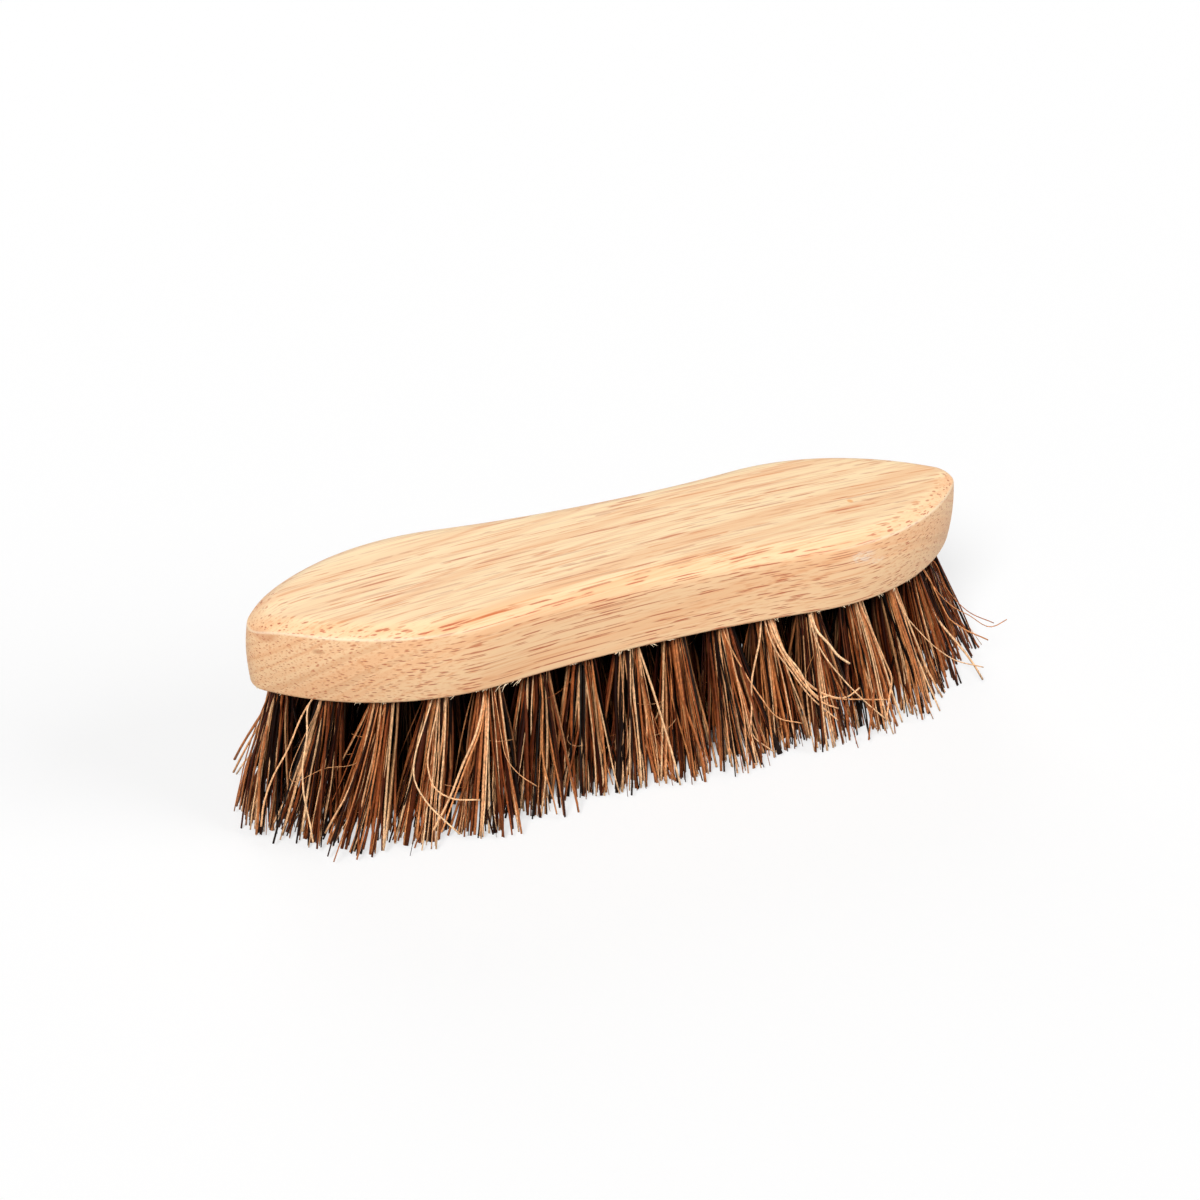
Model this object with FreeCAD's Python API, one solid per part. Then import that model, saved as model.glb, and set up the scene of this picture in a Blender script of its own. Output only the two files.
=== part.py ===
import FreeCAD, Part
import math
import os

# Scrub brush: a waisted hardwood block bored from below, with a tuft of stiff
# plant fibre doubled over a wire staple in every hole.
# Millimetres and degrees. The origin is the middle of the plane that the trimmed
# fibre tips share. X runs along the block, Z points up out of its flat top.

# Block
BLOCK_LENGTH = 200.0
BLOCK_WIDTH = 50.0
BLOCK_THICKNESS = 20.3
SHOULDER_STATION = 51.0  # from the middle to the widest point
WAIST_DEPTH = 2.9  # how far each side draws in at the middle
TIP_RADIUS = 6.6
TOP_EDGE_RUN = 5.2  # worn top edge, in from the side
TOP_EDGE_DROP = 2.5  # worn top edge, down from the top
LOWER_CHAMFER = 0.5

# Bored holes
HOLE_DIAMETER = 6.5
HOLE_DEPTH = 12.0
HOLE_MARGIN = 7.5  # from the side of the block to the outer holes' centres
HOLES_PER_SIDE = 14
INNER_ROW_SHARE = 0.34  # an inner row's place between the centre line and the outer row
FAN_ANGLE = 13.0  # outward lean of the outer holes

# Tufts
TRIM_LENGTH = 38.0  # from the wood down to the trimmed tips
TUFT_CLEARANCE = 0.15  # between a tuft's root and its hole
TUFT_COLLAR = 1.2  # length of root that shows below the wood
FLARE_RADIUS = 6.3  # a tuft's radius at its tips
STRANDS = 6
STRAND_SPLIT = 9.0  # angle of the gap between two strands
SHORT_STRAND_CUT = 1.6  # how much shorter every other strand ends

# Staples
STAPLE_WIRE = 0.9
STAPLE_WIDTH = 4.4
STAPLE_BITE = 4.0  # how deep the legs go into the wood above a hole
STAPLE_CLEARANCE = 0.05
FOLD_HEIGHT = 2.6  # fibre that is folded over the staple's crown

BORE_FACETS = 8  # flat sides that stand for the round of a hole and of a root
STRAND_HEART = 0.15  # how near a strand's inner corner comes to its tuft's middle

MIDDLE = FreeCAD.Vector(0, 0, 0)
LENGTHWISE = FreeCAD.Vector(1, 0, 0)
CROSSWISE = FreeCAD.Vector(0, 1, 0)
UP = FreeCAD.Vector(0, 0, 1)
UNDERSIDE = TRIM_LENGTH
TOP = UNDERSIDE + BLOCK_THICKNESS

# A quarter of the outline is a small tip arc, a bow arc out to the shoulder and
# the hollow arc of the waist, each tangent to the next.
half_width = BLOCK_WIDTH / 2
tip_centre = FreeCAD.Vector(BLOCK_LENGTH / 2 - TIP_RADIUS, 0, 0)
bow_reach = tip_centre.x - SHOULDER_STATION
bow_radius = (bow_reach**2 + half_width**2 - TIP_RADIUS**2) / (2 * (half_width - TIP_RADIUS))
bow_centre = FreeCAD.Vector(SHOULDER_STATION, half_width - bow_radius, 0)
waist_rise = bow_radius - WAIST_DEPTH
waist_radius = (SHOULDER_STATION**2 + waist_rise**2 - bow_radius**2) / (2 * WAIST_DEPTH)
waist_centre = FreeCAD.Vector(0, half_width - WAIST_DEPTH + waist_radius, 0)


def bearing(vector):
    return math.degrees(math.atan2(vector.y, vector.x))


tip_bearing = bearing(tip_centre - bow_centre)
waist_bearing = bearing(waist_centre - bow_centre)

# Centre, radius, first bearing, last bearing, and +1 where the wood is on the
# centre's side of the arc or -1 where it is outside.
TIP_ARC = (tip_centre, TIP_RADIUS, 0.0, tip_bearing, 1)
BOW_ARC = (bow_centre, bow_radius, tip_bearing, waist_bearing, 1)
WAIST_ARC = (waist_centre, waist_radius, waist_bearing - 180.0, -90.0, -1)
QUARTER = [TIP_ARC, BOW_ARC, WAIST_ARC]


def around(centre, radius, degrees):
    angle = math.radians(degrees)
    return centre + FreeCAD.Vector(radius * math.cos(angle), radius * math.sin(angle), 0)


def arc_edge(centre, radius, first, last, height):
    stations = [around(centre, radius, degrees) for degrees in (first, (first + last) / 2, last)]
    return Part.Arc(*[station + UP * height for station in stations]).toShape()


def both_ends(shape):
    return [shape, shape.mirror(MIDDLE, LENGTHWISE)]


def four_quarters(shape):
    return both_ends(shape) + both_ends(shape.mirror(MIDDLE, CROSSWISE))


def outline_face(inset, height):
    edges = []
    for centre, radius, first, last, side in QUARTER:
        edges += four_quarters(arc_edge(centre, radius - side * inset, first, last, height))
    return Part.Face(Part.Wire(Part.__sortEdges__(edges)))


# The side of the block in section at the start of an arc: a small chamfer below,
# an upright wall, and a worn top edge that is tangent to the top and meets the
# wall at a crease.
def side_profile(centre, radius, first, last, side):
    def at(inset, height):
        return around(centre, radius - side * inset, first) + UP * height

    edge_radius = (TOP_EDGE_RUN**2 + TOP_EDGE_DROP**2) / (2 * TOP_EDGE_DROP)
    half_turn = math.asin(TOP_EDGE_RUN / edge_radius) / 2
    edge_middle = at(
        TOP_EDGE_RUN - edge_radius * math.sin(half_turn),
        TOP - edge_radius * (1 - math.cos(half_turn)),
    )
    foot = at(LOWER_CHAMFER, UNDERSIDE)
    wall_foot = at(0, UNDERSIDE + LOWER_CHAMFER)
    crease = at(0, TOP - TOP_EDGE_DROP)
    return Part.Wire([
        Part.LineSegment(foot, wall_foot).toShape(),
        Part.LineSegment(wall_foot, crease).toShape(),
        Part.Arc(crease, edge_middle, at(TOP_EDGE_RUN, TOP)).toShape(),
    ])


# The section turns about each arc's own centre, so the skin is exact all round.
def plain_block():
    faces = [outline_face(LOWER_CHAMFER, UNDERSIDE), outline_face(TOP_EDGE_RUN, TOP)]
    for arc in QUARTER:
        centre, radius, first, last, side = arc
        skin = side_profile(*arc).revolve(centre, UP, last - first)
        for quarter in four_quarters(skin):
            faces += quarter.Faces
    shell = Part.makeShell(faces)
    shell.sewShape()
    return Part.makeSolid(shell).removeSplitter()


# The outer holes follow the outline from tip to tip on the far side, evenly spaced.
def outer_row():
    bow_line = bow_radius - HOLE_MARGIN
    tip_start = math.degrees(math.asin(-bow_centre.y / bow_line))
    bow = arc_edge(bow_centre, bow_line, tip_start, waist_bearing, UNDERSIDE)
    waist = arc_edge(waist_centre, waist_radius + HOLE_MARGIN, waist_bearing - 180.0, -90.0, UNDERSIDE)
    path = Part.Wire(Part.__sortEdges__(both_ends(bow) + both_ends(waist)))
    return sorted(path.discretize(Number=HOLES_PER_SIDE + 2), key=lambda mouth: mouth.x)


# Each tuft's name and the middle of its hole's mouth. The inner rows stand
# halfway between the outer holes, and close up into one hole near each tip.
def hole_mouths():
    row = outer_row()
    mouths = {"tuft_tip_left": row[0], "tuft_tip_right": row[-1]}
    for number, mouth in enumerate(row[1:-1], start=1):
        mouths[f"tuft_far_{number:02d}"] = mouth
        mouths[f"tuft_near_{number:02d}"] = FreeCAD.Vector(mouth.x, -mouth.y, mouth.z)
    between = [(first + second) / 2 for first, second in zip(row[1:-2], row[2:-1])]
    mouths["tuft_end_left"] = FreeCAD.Vector(between[0].x, 0, UNDERSIDE)
    mouths["tuft_end_right"] = FreeCAD.Vector(between[-1].x, 0, UNDERSIDE)
    for number, mouth in enumerate(between[1:-1], start=1):
        inner = mouth.y * INNER_ROW_SHARE
        mouths[f"tuft_mid_far_{number:02d}"] = FreeCAD.Vector(mouth.x, inner, mouth.z)
        mouths[f"tuft_mid_near_{number:02d}"] = FreeCAD.Vector(mouth.x, -inner, mouth.z)
    return mouths


class Bore:
    """A hole that leans outward with its distance from the middle of the block."""

    def __init__(self, mouth):
        slope = math.tan(math.radians(FAN_ANGLE))
        lean_x = slope * mouth.x / (BLOCK_LENGTH / 2 - HOLE_MARGIN)
        lean_y = slope * mouth.y / (half_width - HOLE_MARGIN)
        self.mouth = mouth
        self.fall = FreeCAD.Vector(lean_x, lean_y, -1)
        self.axis = FreeCAD.Vector(-lean_x, -lean_y, 1).normalize()
        self.along = (LENGTHWISE - self.axis * self.axis.dot(LENGTHWISE)).normalize()
        self.across = self.axis.cross(self.along)
        self.floor = mouth + self.axis * HOLE_DEPTH

    def at(self, along, across, rise):
        """A point measured from the middle of the hole's floor."""
        return self.floor + self.along * along + self.across * across + self.axis * rise


def flat_face(corners):
    return Part.Face(Part.makePolygon(corners + corners[:1]))


# A faceted round bar along a bore, from one rise above its floor to another.
def round_bar(bore, radius, low, high):
    corners = []
    for number in range(BORE_FACETS):
        turn = 2 * math.pi * (number + 0.5) / BORE_FACETS
        corners.append(bore.at(radius * math.cos(turn), radius * math.sin(turn), low))
    return flat_face(corners).extrude(bore.axis * (high - low))


# A plate of even thickness in the staple's plane, from its half outline.
def staple_plate(bore, half_outline, thickness):
    outline = half_outline + [(-along, rise) for along, rise in reversed(half_outline)]
    corners = [bore.at(along, -thickness / 2, rise) for along, rise in outline]
    return flat_face(corners).extrude(bore.across * thickness)


# A staple is a square-wire U. Its crown lies inside the fold of the tuft, and its
# sharpened legs pass through the root into the wood above the hole.
def staple(bore):
    outer = STAPLE_WIDTH / 2
    inner = outer - STAPLE_WIRE
    crown = -FOLD_HEIGHT
    half_outline = [
        (outer, crown - STAPLE_WIRE),
        (outer, STAPLE_BITE),
        (inner, STAPLE_BITE - STAPLE_WIRE),
        (inner, crown),
    ]
    return staple_plate(bore, half_outline, STAPLE_WIRE)


# The room that a staple takes in the root and in the wood, with its clearance.
def staple_room(bore):
    outer = STAPLE_WIDTH / 2 + STAPLE_CLEARANCE
    inner = outer - STAPLE_WIRE - 2 * STAPLE_CLEARANCE
    crown = STAPLE_CLEARANCE - FOLD_HEIGHT
    below = crown - STAPLE_WIRE - 2 * STAPLE_CLEARANCE
    top = STAPLE_BITE + STAPLE_CLEARANCE
    half_outline = [(outer, below), (outer, top), (inner, top), (inner, crown)]
    return staple_plate(bore, half_outline, STAPLE_WIRE + 2 * STAPLE_CLEARANCE)


def drilled_hole(bore):
    return round_bar(bore, HOLE_DIAMETER / 2, -HOLE_DEPTH - HOLE_DIAMETER, 0)


# The root of a tuft fills its hole and shows as a short collar below the wood.
def tuft_root(bore):
    bar = round_bar(bore, root_radius, -HOLE_DEPTH - 2 * HOLE_DIAMETER, -TUFT_CLEARANCE)
    trim_size = 4 * HOLE_DIAMETER
    trim_corner = FreeCAD.Vector(
        bore.mouth.x - trim_size / 2,
        bore.mouth.y - trim_size / 2,
        UNDERSIDE - TUFT_COLLAR - trim_size,
    )
    trim = Part.makeBox(trim_size, trim_size, trim_size, trim_corner)
    return bar.cut([trim, staple_room(bore)])


# A strand's level section is a wedge of the tuft, which grows evenly downwards.
def strand_section(bore, heading, height):
    drop = UNDERSIDE - height
    middle = bore.mouth + bore.fall * drop
    reach = strand_root_radius + (FLARE_RADIUS - strand_root_radius) * drop / TRIM_LENGTH
    half_angle = (360.0 / STRANDS - STRAND_SPLIT) / 2
    return [
        around(middle, reach * STRAND_HEART, heading),
        around(middle, reach, heading - half_angle),
        around(middle, reach, heading + half_angle),
    ]


def strand(bore, heading, tip_height):
    root = strand_section(bore, heading, UNDERSIDE - TUFT_COLLAR / 2)
    tip = strand_section(bore, heading, tip_height)
    faces = [flat_face(root), flat_face(tip)]
    for first, second in ((0, 1), (1, 2), (2, 0)):
        faces.append(flat_face([root[first], root[second], tip[second], tip[first]]))
    shell = Part.makeShell(faces)
    shell.sewShape()
    return Part.makeSolid(shell)


def tuft(bore):
    facing = bearing(bore.fall)
    strands = []
    for number in range(STRANDS):
        tip_height = SHORT_STRAND_CUT * (number % 2)
        strands.append(strand(bore, facing + 360.0 * number / STRANDS, tip_height))
    return tuft_root(bore).fuse(strands)


# A strand starts inside the flats of its root.
root_radius = HOLE_DIAMETER / 2 - TUFT_CLEARANCE
strand_root_radius = (root_radius - TUFT_CLEARANCE) * math.cos(math.pi / BORE_FACETS)

bores = {name: Bore(mouth) for name, mouth in hole_mouths().items()}

cutters = []
for bore in bores.values():
    cutters += [drilled_hole(bore), staple_room(bore)]

parts = {"brush_block": plain_block().cut(cutters)}
for name, bore in bores.items():
    parts[name] = tuft(bore)
parts["tuft_staples"] = Part.makeCompound([staple(bore) for bore in bores.values()])

os.makedirs("parts", exist_ok=True)
for name, shape in parts.items():
    shape.exportStep(f"parts/{name}.step")
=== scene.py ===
import math

import bmesh
import bpy
import numpy as np
from bpy.props import FloatProperty, FloatVectorProperty, IntProperty, PointerProperty
from mathutils import Matrix, Vector


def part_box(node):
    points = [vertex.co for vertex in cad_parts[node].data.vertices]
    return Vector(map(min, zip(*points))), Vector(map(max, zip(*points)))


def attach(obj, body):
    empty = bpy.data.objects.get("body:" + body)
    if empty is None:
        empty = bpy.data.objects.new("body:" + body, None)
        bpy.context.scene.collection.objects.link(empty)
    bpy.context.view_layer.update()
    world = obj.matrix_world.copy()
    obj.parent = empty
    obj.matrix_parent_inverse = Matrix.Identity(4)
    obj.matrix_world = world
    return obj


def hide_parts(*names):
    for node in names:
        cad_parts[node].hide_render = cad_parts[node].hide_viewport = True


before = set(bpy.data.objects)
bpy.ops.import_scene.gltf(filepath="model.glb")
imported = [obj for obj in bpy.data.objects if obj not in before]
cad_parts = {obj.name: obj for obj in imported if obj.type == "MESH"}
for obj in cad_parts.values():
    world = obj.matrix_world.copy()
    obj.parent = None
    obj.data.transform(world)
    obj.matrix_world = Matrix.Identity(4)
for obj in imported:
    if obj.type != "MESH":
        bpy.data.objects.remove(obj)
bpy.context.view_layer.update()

bl_info = {
    "name": "Scrub Brush Looks",
    "version": (1, 0, 0),
    "blender": (4, 5, 0),
    "location": "View3D > Sidebar > Scrub Brush",
    "description": "Dresses the solids of a wooden scrub brush with grain, fibre and light",
    "category": "Object",
}

MM = 0.001
BLOCK_LOW, BLOCK_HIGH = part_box("brush_block")
UNDERSIDE = BLOCK_LOW.z
TUFT_NODES = sorted(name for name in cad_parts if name.startswith("tuft_") and name != "tuft_staples")


def linear(code):
    """An sRGB hex colour as the linear values that Blender works in."""
    parts = [int(code[start:start + 2], 16) / 255 for start in (1, 3, 5)]
    return tuple(part / 12.92 if part <= 0.04045 else ((part + 0.055) / 1.055) ** 2.4 for part in parts)


def number(name, description, default, **kind):
    """A number, with its unit or subtype if it has one."""
    return FloatProperty(name=name, description=description, default=default, **kind)


def length(name, description, default):
    """A size in metres."""
    return number(name, description, default, unit="LENGTH", precision=5)


def angle(name, description, degrees):
    """A turn, given in degrees."""
    return number(name, description, math.radians(degrees), subtype="ANGLE")


def colour(name, description, code):
    """A colour, given as sRGB hex."""
    return FloatVectorProperty(
        name=name, description=description, default=linear(code), subtype="COLOR", size=3, min=0.0, max=1.0
    )


# Settings

class BrushBlockSettings(bpy.types.PropertyGroup):
    """Sizes and colours of the wooden block."""

    shoulder_station: length("Shoulder Station", "From the middle to the widest point", 51.0 * MM)
    waist_depth: length("Waist Depth", "How far each side draws in at the middle", 2.9 * MM)
    tip_radius: length("Tip Radius", "Rounding of each end, seen from above", 6.6 * MM)
    edge_run: length("Edge Run", "Worn top edge, in from the side", 5.2 * MM)
    edge_drop: length("Edge Drop", "Worn top edge, down from the top", 2.5 * MM)
    lower_chamfer: length("Lower Chamfer", "Broken lower arris", 0.5 * MM)
    crisp_crease: length("Crisp Crease", "Softness of the crease at the ends", 0.25 * MM)
    tip_wear: length("Tip Wear", "How far the left tip's arris is worn down", 2.0 * MM)
    end_bulge: length("End Bulge", "How far the ends swell at half height", 0.6 * MM)
    soft_crease: length("Soft Crease", "Softness of the crease along the waist", 1.5 * MM)
    hole_radius: length("Hole Radius", "Radius of the bored holes", 3.25 * MM)
    hole_depth: length("Hole Depth", "Depth of the bored holes", 12.0 * MM)
    sapwood: colour("Sapwood", "Palest wood between the growth bands", "#ffe2b4")
    growth_band: colour("Growth Band", "Pinkish tan of the growth bands", "#f3be8c")
    growth_line: colour("Growth Line", "Dark line that closes a layer, and streaks of its colour", "#dc7e42")
    pore: colour("Pore", "Open pores, cut along the grain", "#b8481c")
    # Tint of every face not looking straight up: partly oil on the sides and ends, partly painted shade.
    side_oil_and_shade: colour("End Grain", "Tint of wood on the sides and ends", "#fab684")
    cut_ring: colour("Cut Ring", "Growth layers where they are cut across", "#d8925f")
    # Pale line on the crisp arris: partly rubbed wood, partly a painted highlight.
    rubbed_arris_highlight: colour("Rubbed Arris", "Pale wood of the crisp arris at the ends", "#ffeccd")
    torn_wood: colour("Torn Wood", "Raw wood of the torn chips", "#ffedd0")


class BrushFibreSettings(bpy.types.PropertyGroup):
    """Sizes and colours of the plant fibre."""

    per_tuft: IntProperty(
        name="Fibres per Tuft", description="Fibre ends in one hole", default=104, min=8, max=200
    )
    width: length("Fibre Width", "Middle width of one fibre", 0.6 * MM)
    flare: length("Tuft Flare", "Radius of a tuft at its tips", 7.5 * MM)
    raggedness: length("Raggedness", "How much shorter than the trim a fibre ends, on average", 0.8 * MM)
    darkest: colour("Darkest Fibre", "Weathered grey-black fibre", "#2e2926")
    blackened: colour("Blackened Fibre", "Nearly black brown fibre", "#2c140a")
    dark: colour("Dark Fibre", "Deep brown fibre", "#4e200a")
    middle: colour("Brown Fibre", "Red-brown of most of the fibre", "#a85c30")
    light: colour("Light Fibre", "Orange-brown fibre", "#de965e")
    palest: colour("Palest Fibre", "Tan, sun-dried fibre", "#ffd2a2")


class BrushStageSettings(bpy.types.PropertyGroup):
    """Floor, lamps and camera."""

    floor: colour("Floor", "White sweep that the brush stands on", "#ffffff")
    floor_bounce: colour("Floor Bounce", "How much light the floor throws back up", "#3c3c3c")
    floor_glow: number("Floor Glow", "Share of its white that comes from behind", 0.65, subtype="FACTOR")
    horizon: number("Horizon Light", "Light of the screens round the brush", 0.2)
    zenith: number("Zenith Light", "Light of the ceiling", 0.05)
    key_strength: number("Key Strength", "Soft lamp above, in front and to the left", 2.95)
    key_softness: angle("Key Softness", "Width of the soft lamp, seen from the brush", 20.0)
    fill_strength: number("Fill Strength", "Broad lamp in front and to the right", 1.45)
    fill_softness: angle("Fill Softness", "Width of the broad lamps, seen from the brush", 35.0)
    back_strength: number("Back Strength", "Broad, weak lamp behind", 0.5)
    azimuth: angle("Camera Azimuth", "Camera's turn about the vertical", -26.71)
    elevation: angle("Camera Elevation", "Camera's height above the horizon", 30.21)
    roll: angle("Camera Roll", "Camera's tilt about its own axis", 1.85)
    distance: length("Camera Distance", "From the middle of the top face", 511.35 * MM)
    aside: length("Camera Aside", "How far the brush's middle lies right of the view's", 6.52 * MM)
    above: length("Camera Above", "How far the brush's middle lies above the view's", 16.91 * MM)
    lens: number("Lens", "Focal length on a 36 mm sensor, in millimetres", 59.97)


# Shader nodes

def fill(tree, made, inputs):
    """Sets a node's inputs to values, or links them to sockets or to nodes' first live outputs."""
    for key, value in inputs.items():
        if isinstance(value, bpy.types.Node):
            value = next(socket for socket in value.outputs if socket.enabled)
        if isinstance(value, bpy.types.NodeSocket):
            tree.links.new(value, made.inputs[key])
        else:
            made.inputs[key].default_value = value


def node(tree, kind, inputs=None, stops=None, **settings):
    """Adds a shader node with its settings and links, and a colour ramp's stops."""
    made = tree.nodes.new("ShaderNode" + kind)
    for name, value in settings.items():
        setattr(made, name, value)
    fill(tree, made, inputs or {})
    for place, (position, tint) in enumerate(stops or []):
        elements = made.color_ramp.elements
        element = elements[place] if place < 2 else elements.new(position)
        element.position = position
        element.color = (*tint, 1.0)
    return made


def new_material(name):
    """A new material, its node tree and its main shader."""
    material = bpy.data.materials.new(name)
    material.use_nodes = True
    return material, material.node_tree, material.node_tree.nodes["Principled BSDF"]


def millimetres(tree):
    """The piece's own coordinates in millimetres."""
    place = node(tree, "TexCoord").outputs["Object"]
    return node(tree, "VectorMath", {0: place, "Scale": 1 / MM}, operation="SCALE")


# Marks in the wood: what, centre and half sizes in mm, colour, strength.
MARKS = [
    ("resin fleck", (63.3, -6.7, 58.3), (1.1, 1.3, 2.0), "#f0a050", 0.75),
    ("brown stain", (-87.2, -13.9, 52.2), (2.0, 2.0, 0.9), "#b8693c", 0.55),
    ("red streak", (-45.0, -22.3, 57.5), (11.0, 0.9, 1.2), "#cf6a36", 0.75),
    ("red streak", (-66.0, -4.6, 58.3), (26.0, 1.3, 2.0), "#dc8050", 0.6),
    ("red streak", (43.0, 10.8, 58.3), (14.0, 1.4, 2.0), "#d9845a", 0.45),
    ("red streak", (-8.0, -6.0, 58.3), (22.0, 1.0, 2.0), "#dc8050", 0.40),
    ("red stain", (-97.5, -5.0, 54.0), (4.5, 5.0, 1.9), "#d28a60", 0.5),
    ("scuff", (56.2, -24.8, 52.2), (5.0, 2.0, 2.4), "#fff4e6", 0.5),
    ("scuff", (61.0, -24.4, 50.0), (4.0, 2.0, 1.2), "#fff4e6", 0.35),
]


def rubberwood_material(settings):
    """Rubberwood, sanded and thinly oiled: cream wood with pinkish growth bands, open
    pores that show as dark dashes along the grain and as dots across it, and a dull sheen."""
    material, tree, shader = new_material("rubberwood_sanded_oiled")
    place = millimetres(tree)
    lean = [math.radians(degrees) for degrees in (0.0, 1.0, -3.0)]
    leaned = node(tree, "Mapping", {"Vector": place, "Rotation": lean})
    along, aside, up = node(tree, "SeparateXYZ", {"Vector": leaned}).outputs
    # The grain bows sideways by 5 mm from the middle of the block to each end.
    square = node(tree, "Math", {0: along, 1: 2.0}, operation="POWER")
    bowed = node(tree, "Math", {0: square, 1: 0.0005, 2: aside}, operation="MULTIPLY_ADD")
    grain = node(tree, "CombineXYZ", {"X": along, "Y": bowed, "Z": up})

    def patches(long, wide, deep, detail=2.0, output="Fac"):
        """Noise in the grain whose patches are this many millimetres long, wide and deep."""
        finer = (1 / long, 1 / wide, 1 / deep)
        cells = node(tree, "VectorMath", {0: grain, 1: finer}, operation="MULTIPLY")
        return node(tree, "TexNoise", {"Vector": cells, "Scale": 1.0, "Detail": detail}).outputs[output]

    def overlap(level, *ramps):
        """A level that shows where all its ramps are up: a value, where it starts and where it is full."""
        for value, start, full in ramps:
            inputs = {"Value": value, "From Min": start, "From Max": full, "To Max": level}
            level = node(tree, "MapRange", inputs, interpolation_type="SMOOTHSTEP")
        return level

    # Coats of colour over the palest wood: how strongly each one shows, and its tint.
    coats = []

    # Growth layers lie tilted in the block, about 5 mm apart, and wander along it.
    tilt, wander = (-0.07, 0.62, 0.78), patches(110, 30, 30)
    layer = node(tree, "VectorMath", {0: grain, 1: tilt}, operation="DOT_PRODUCT")
    layer = node(tree, "Math", {0: wander, 1: 8.0, 2: layer}, operation="MULTIPLY_ADD")
    year = node(tree, "Math", {0: layer, 1: 1 / 5.0}, operation="MULTIPLY")
    broad = {"W": year, "Scale": 0.9, "Detail": 3.0}
    bands = node(tree, "TexNoise", broad, noise_dimensions="1D")
    coats.append((overlap(0.7, (bands, 0.42, 0.66)), settings.growth_band))

    # Each layer closes with a dark line under a millimetre wide that comes and goes.
    closing = node(
        tree, "TexVoronoi", {"W": year, "Scale": 1.0}, voronoi_dimensions="1D", feature="DISTANCE_TO_EDGE"
    )
    line = overlap(0.22, (closing, 0.10, 0.01), (patches(45, 12, 12), 0.40, 0.60))
    coats.append((line, settings.growth_line))

    # How the surface is cut: on the top or on a side, and how far across the grain.
    normal = node(tree, "NewGeometry").outputs["Normal"]
    endward, _, upward = node(tree, "SeparateXYZ", {"Vector": normal}).outputs
    on_top = overlap(1.0, (upward, 0.85, 0.995))
    across = node(tree, "Math", {0: endward}, operation="ABSOLUTE")
    # Every face that does not look straight up is tinted warmer and darker: partly the oil that the sides and
    # ends drink, partly painted shade for faces turned from the lamps.
    coats.append((overlap(0.36, (upward, 0.995, 0.85)), settings.side_oil_and_shade))
    # The layers show most where they are cut across.
    narrow = {"W": year, "Scale": 1.7, "Detail": 2.0}
    rings = node(tree, "TexNoise", narrow, noise_dimensions="1D")
    ring = overlap(0.34, (rings, 0.50, 0.72), (upward, 0.9, 0.4), (across, 0.0, 0.4))
    coats.append((ring, settings.cut_ring))

    # Soft fibre streaks half a millimetre wide.
    streaks = patches(30, 0.5, 0.5, 3.0)
    coats.append((overlap(0.36, (streaks, 0.50, 0.68)), settings.growth_line))

    # Pores are tubes that run the length of the tree and waver, so one pattern shows as long streaks
    # on the top, dashes on the sides and dots at the ends. The finest are drawn twice their real size.
    drift = {0: patches(60, 18, 18, 1.5, "Color"), 1: (0.0, 2.0, 2.0), 2: grain}
    wavering = node(tree, "VectorMath", drift, operation="MULTIPLY_ADD")
    _, sideways, height = node(tree, "SeparateXYZ", {"Vector": wavering}).outputs
    # They are flattened, about twice as wide as they are high.
    narrowed = node(tree, "Math", {0: sideways, 1: 0.45}, operation="MULTIPLY")
    section = node(tree, "CombineXYZ", {"X": narrowed, "Y": height})
    # Cut straight across they close up to small dots.
    closed = {"Value": across, "From Min": 0.15, "From Max": 0.7, "To Min": 1.0, "To Max": 1.5}
    slim = node(tree, "MapRange", closed)
    # Their families: spacing and radius in mm, strength on a side and on the top, tint, where they lie.
    pores = 0.0
    for apart, radius, side_level, top_level, tint, filling in (
        (1.20, 0.17, 0.10, 0.50, settings.growth_line, patches(18, 2.2, 2.2)),
        (0.75, 0.12, 0.10, 0.55, settings.growth_line, patches(11, 1.4, 1.4)),
        (0.70, 0.14, 0.65, 0.20, settings.pore, patches(8, 1.5, 1.5)),
        (1.00, 0.18, 0.78, 0.35, settings.pore, patches(9, 2.0, 2.0)),
        (1.20, 0.14, 0.72, 0.50, settings.pore, patches(10, 1.6, 1.6)),
    ):
        spot = node(tree, "VectorMath", {0: section, "Scale": 1 / apart}, operation="SCALE")
        cell = node(tree, "TexVoronoi", {"Vector": spot, "Scale": 1.0}, voronoi_dimensions="2D")
        gap = node(tree, "Math", {0: cell, 1: slim}, operation="MULTIPLY")
        level = node(tree, "Mix", {0: on_top, 2: side_level, 3: top_level})
        opening = (gap, 1.2 * radius / apart, 0.7 * radius / apart)
        drawn = overlap(level, opening, (filling, 0.44, 0.54))
        coats.append((drawn, tint))
        pores = node(tree, "Math", {0: pores, 1: drawn}, operation="MAXIMUM")

    grit = {"scuff": patches(1.6, 0.35, 0.35, 4.0), "red streak": streaks}
    for kind, centre, reach, code, level in MARKS:
        offset = node(tree, "VectorMath", {0: place, 1: centre}, operation="SUBTRACT")
        # Streaks lie about 7 degrees off the block's length.
        turn = math.radians(-7 if kind == "red streak" else 0)
        turned = node(tree, "VectorRotate", {"Vector": offset, "Angle": turn})
        shares = node(tree, "VectorMath", {0: turned, 1: reach}, operation="DIVIDE")
        distance = node(tree, "VectorMath", {0: shares}, operation="LENGTH")
        mark = overlap(level, (distance, 1.0, 0.35))
        if kind in grit:
            mark = overlap(mark, (grit[kind], 0.42, 0.58))
        coats.append((mark, linear(code)))

    # The crisp arris at the ends is painted pale: partly rubbed wood, partly a painted highlight along the
    # crease.
    rubbed_highlight = node(tree, "Attribute", attribute_name="rubbed_highlight", attribute_type="GEOMETRY").outputs["Fac"]
    rubbed_highlight = node(tree, "Math", {0: rubbed_highlight, 1: 0.6}, operation="MULTIPLY")
    coats.append((rubbed_highlight, settings.rubbed_arris_highlight))

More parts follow.
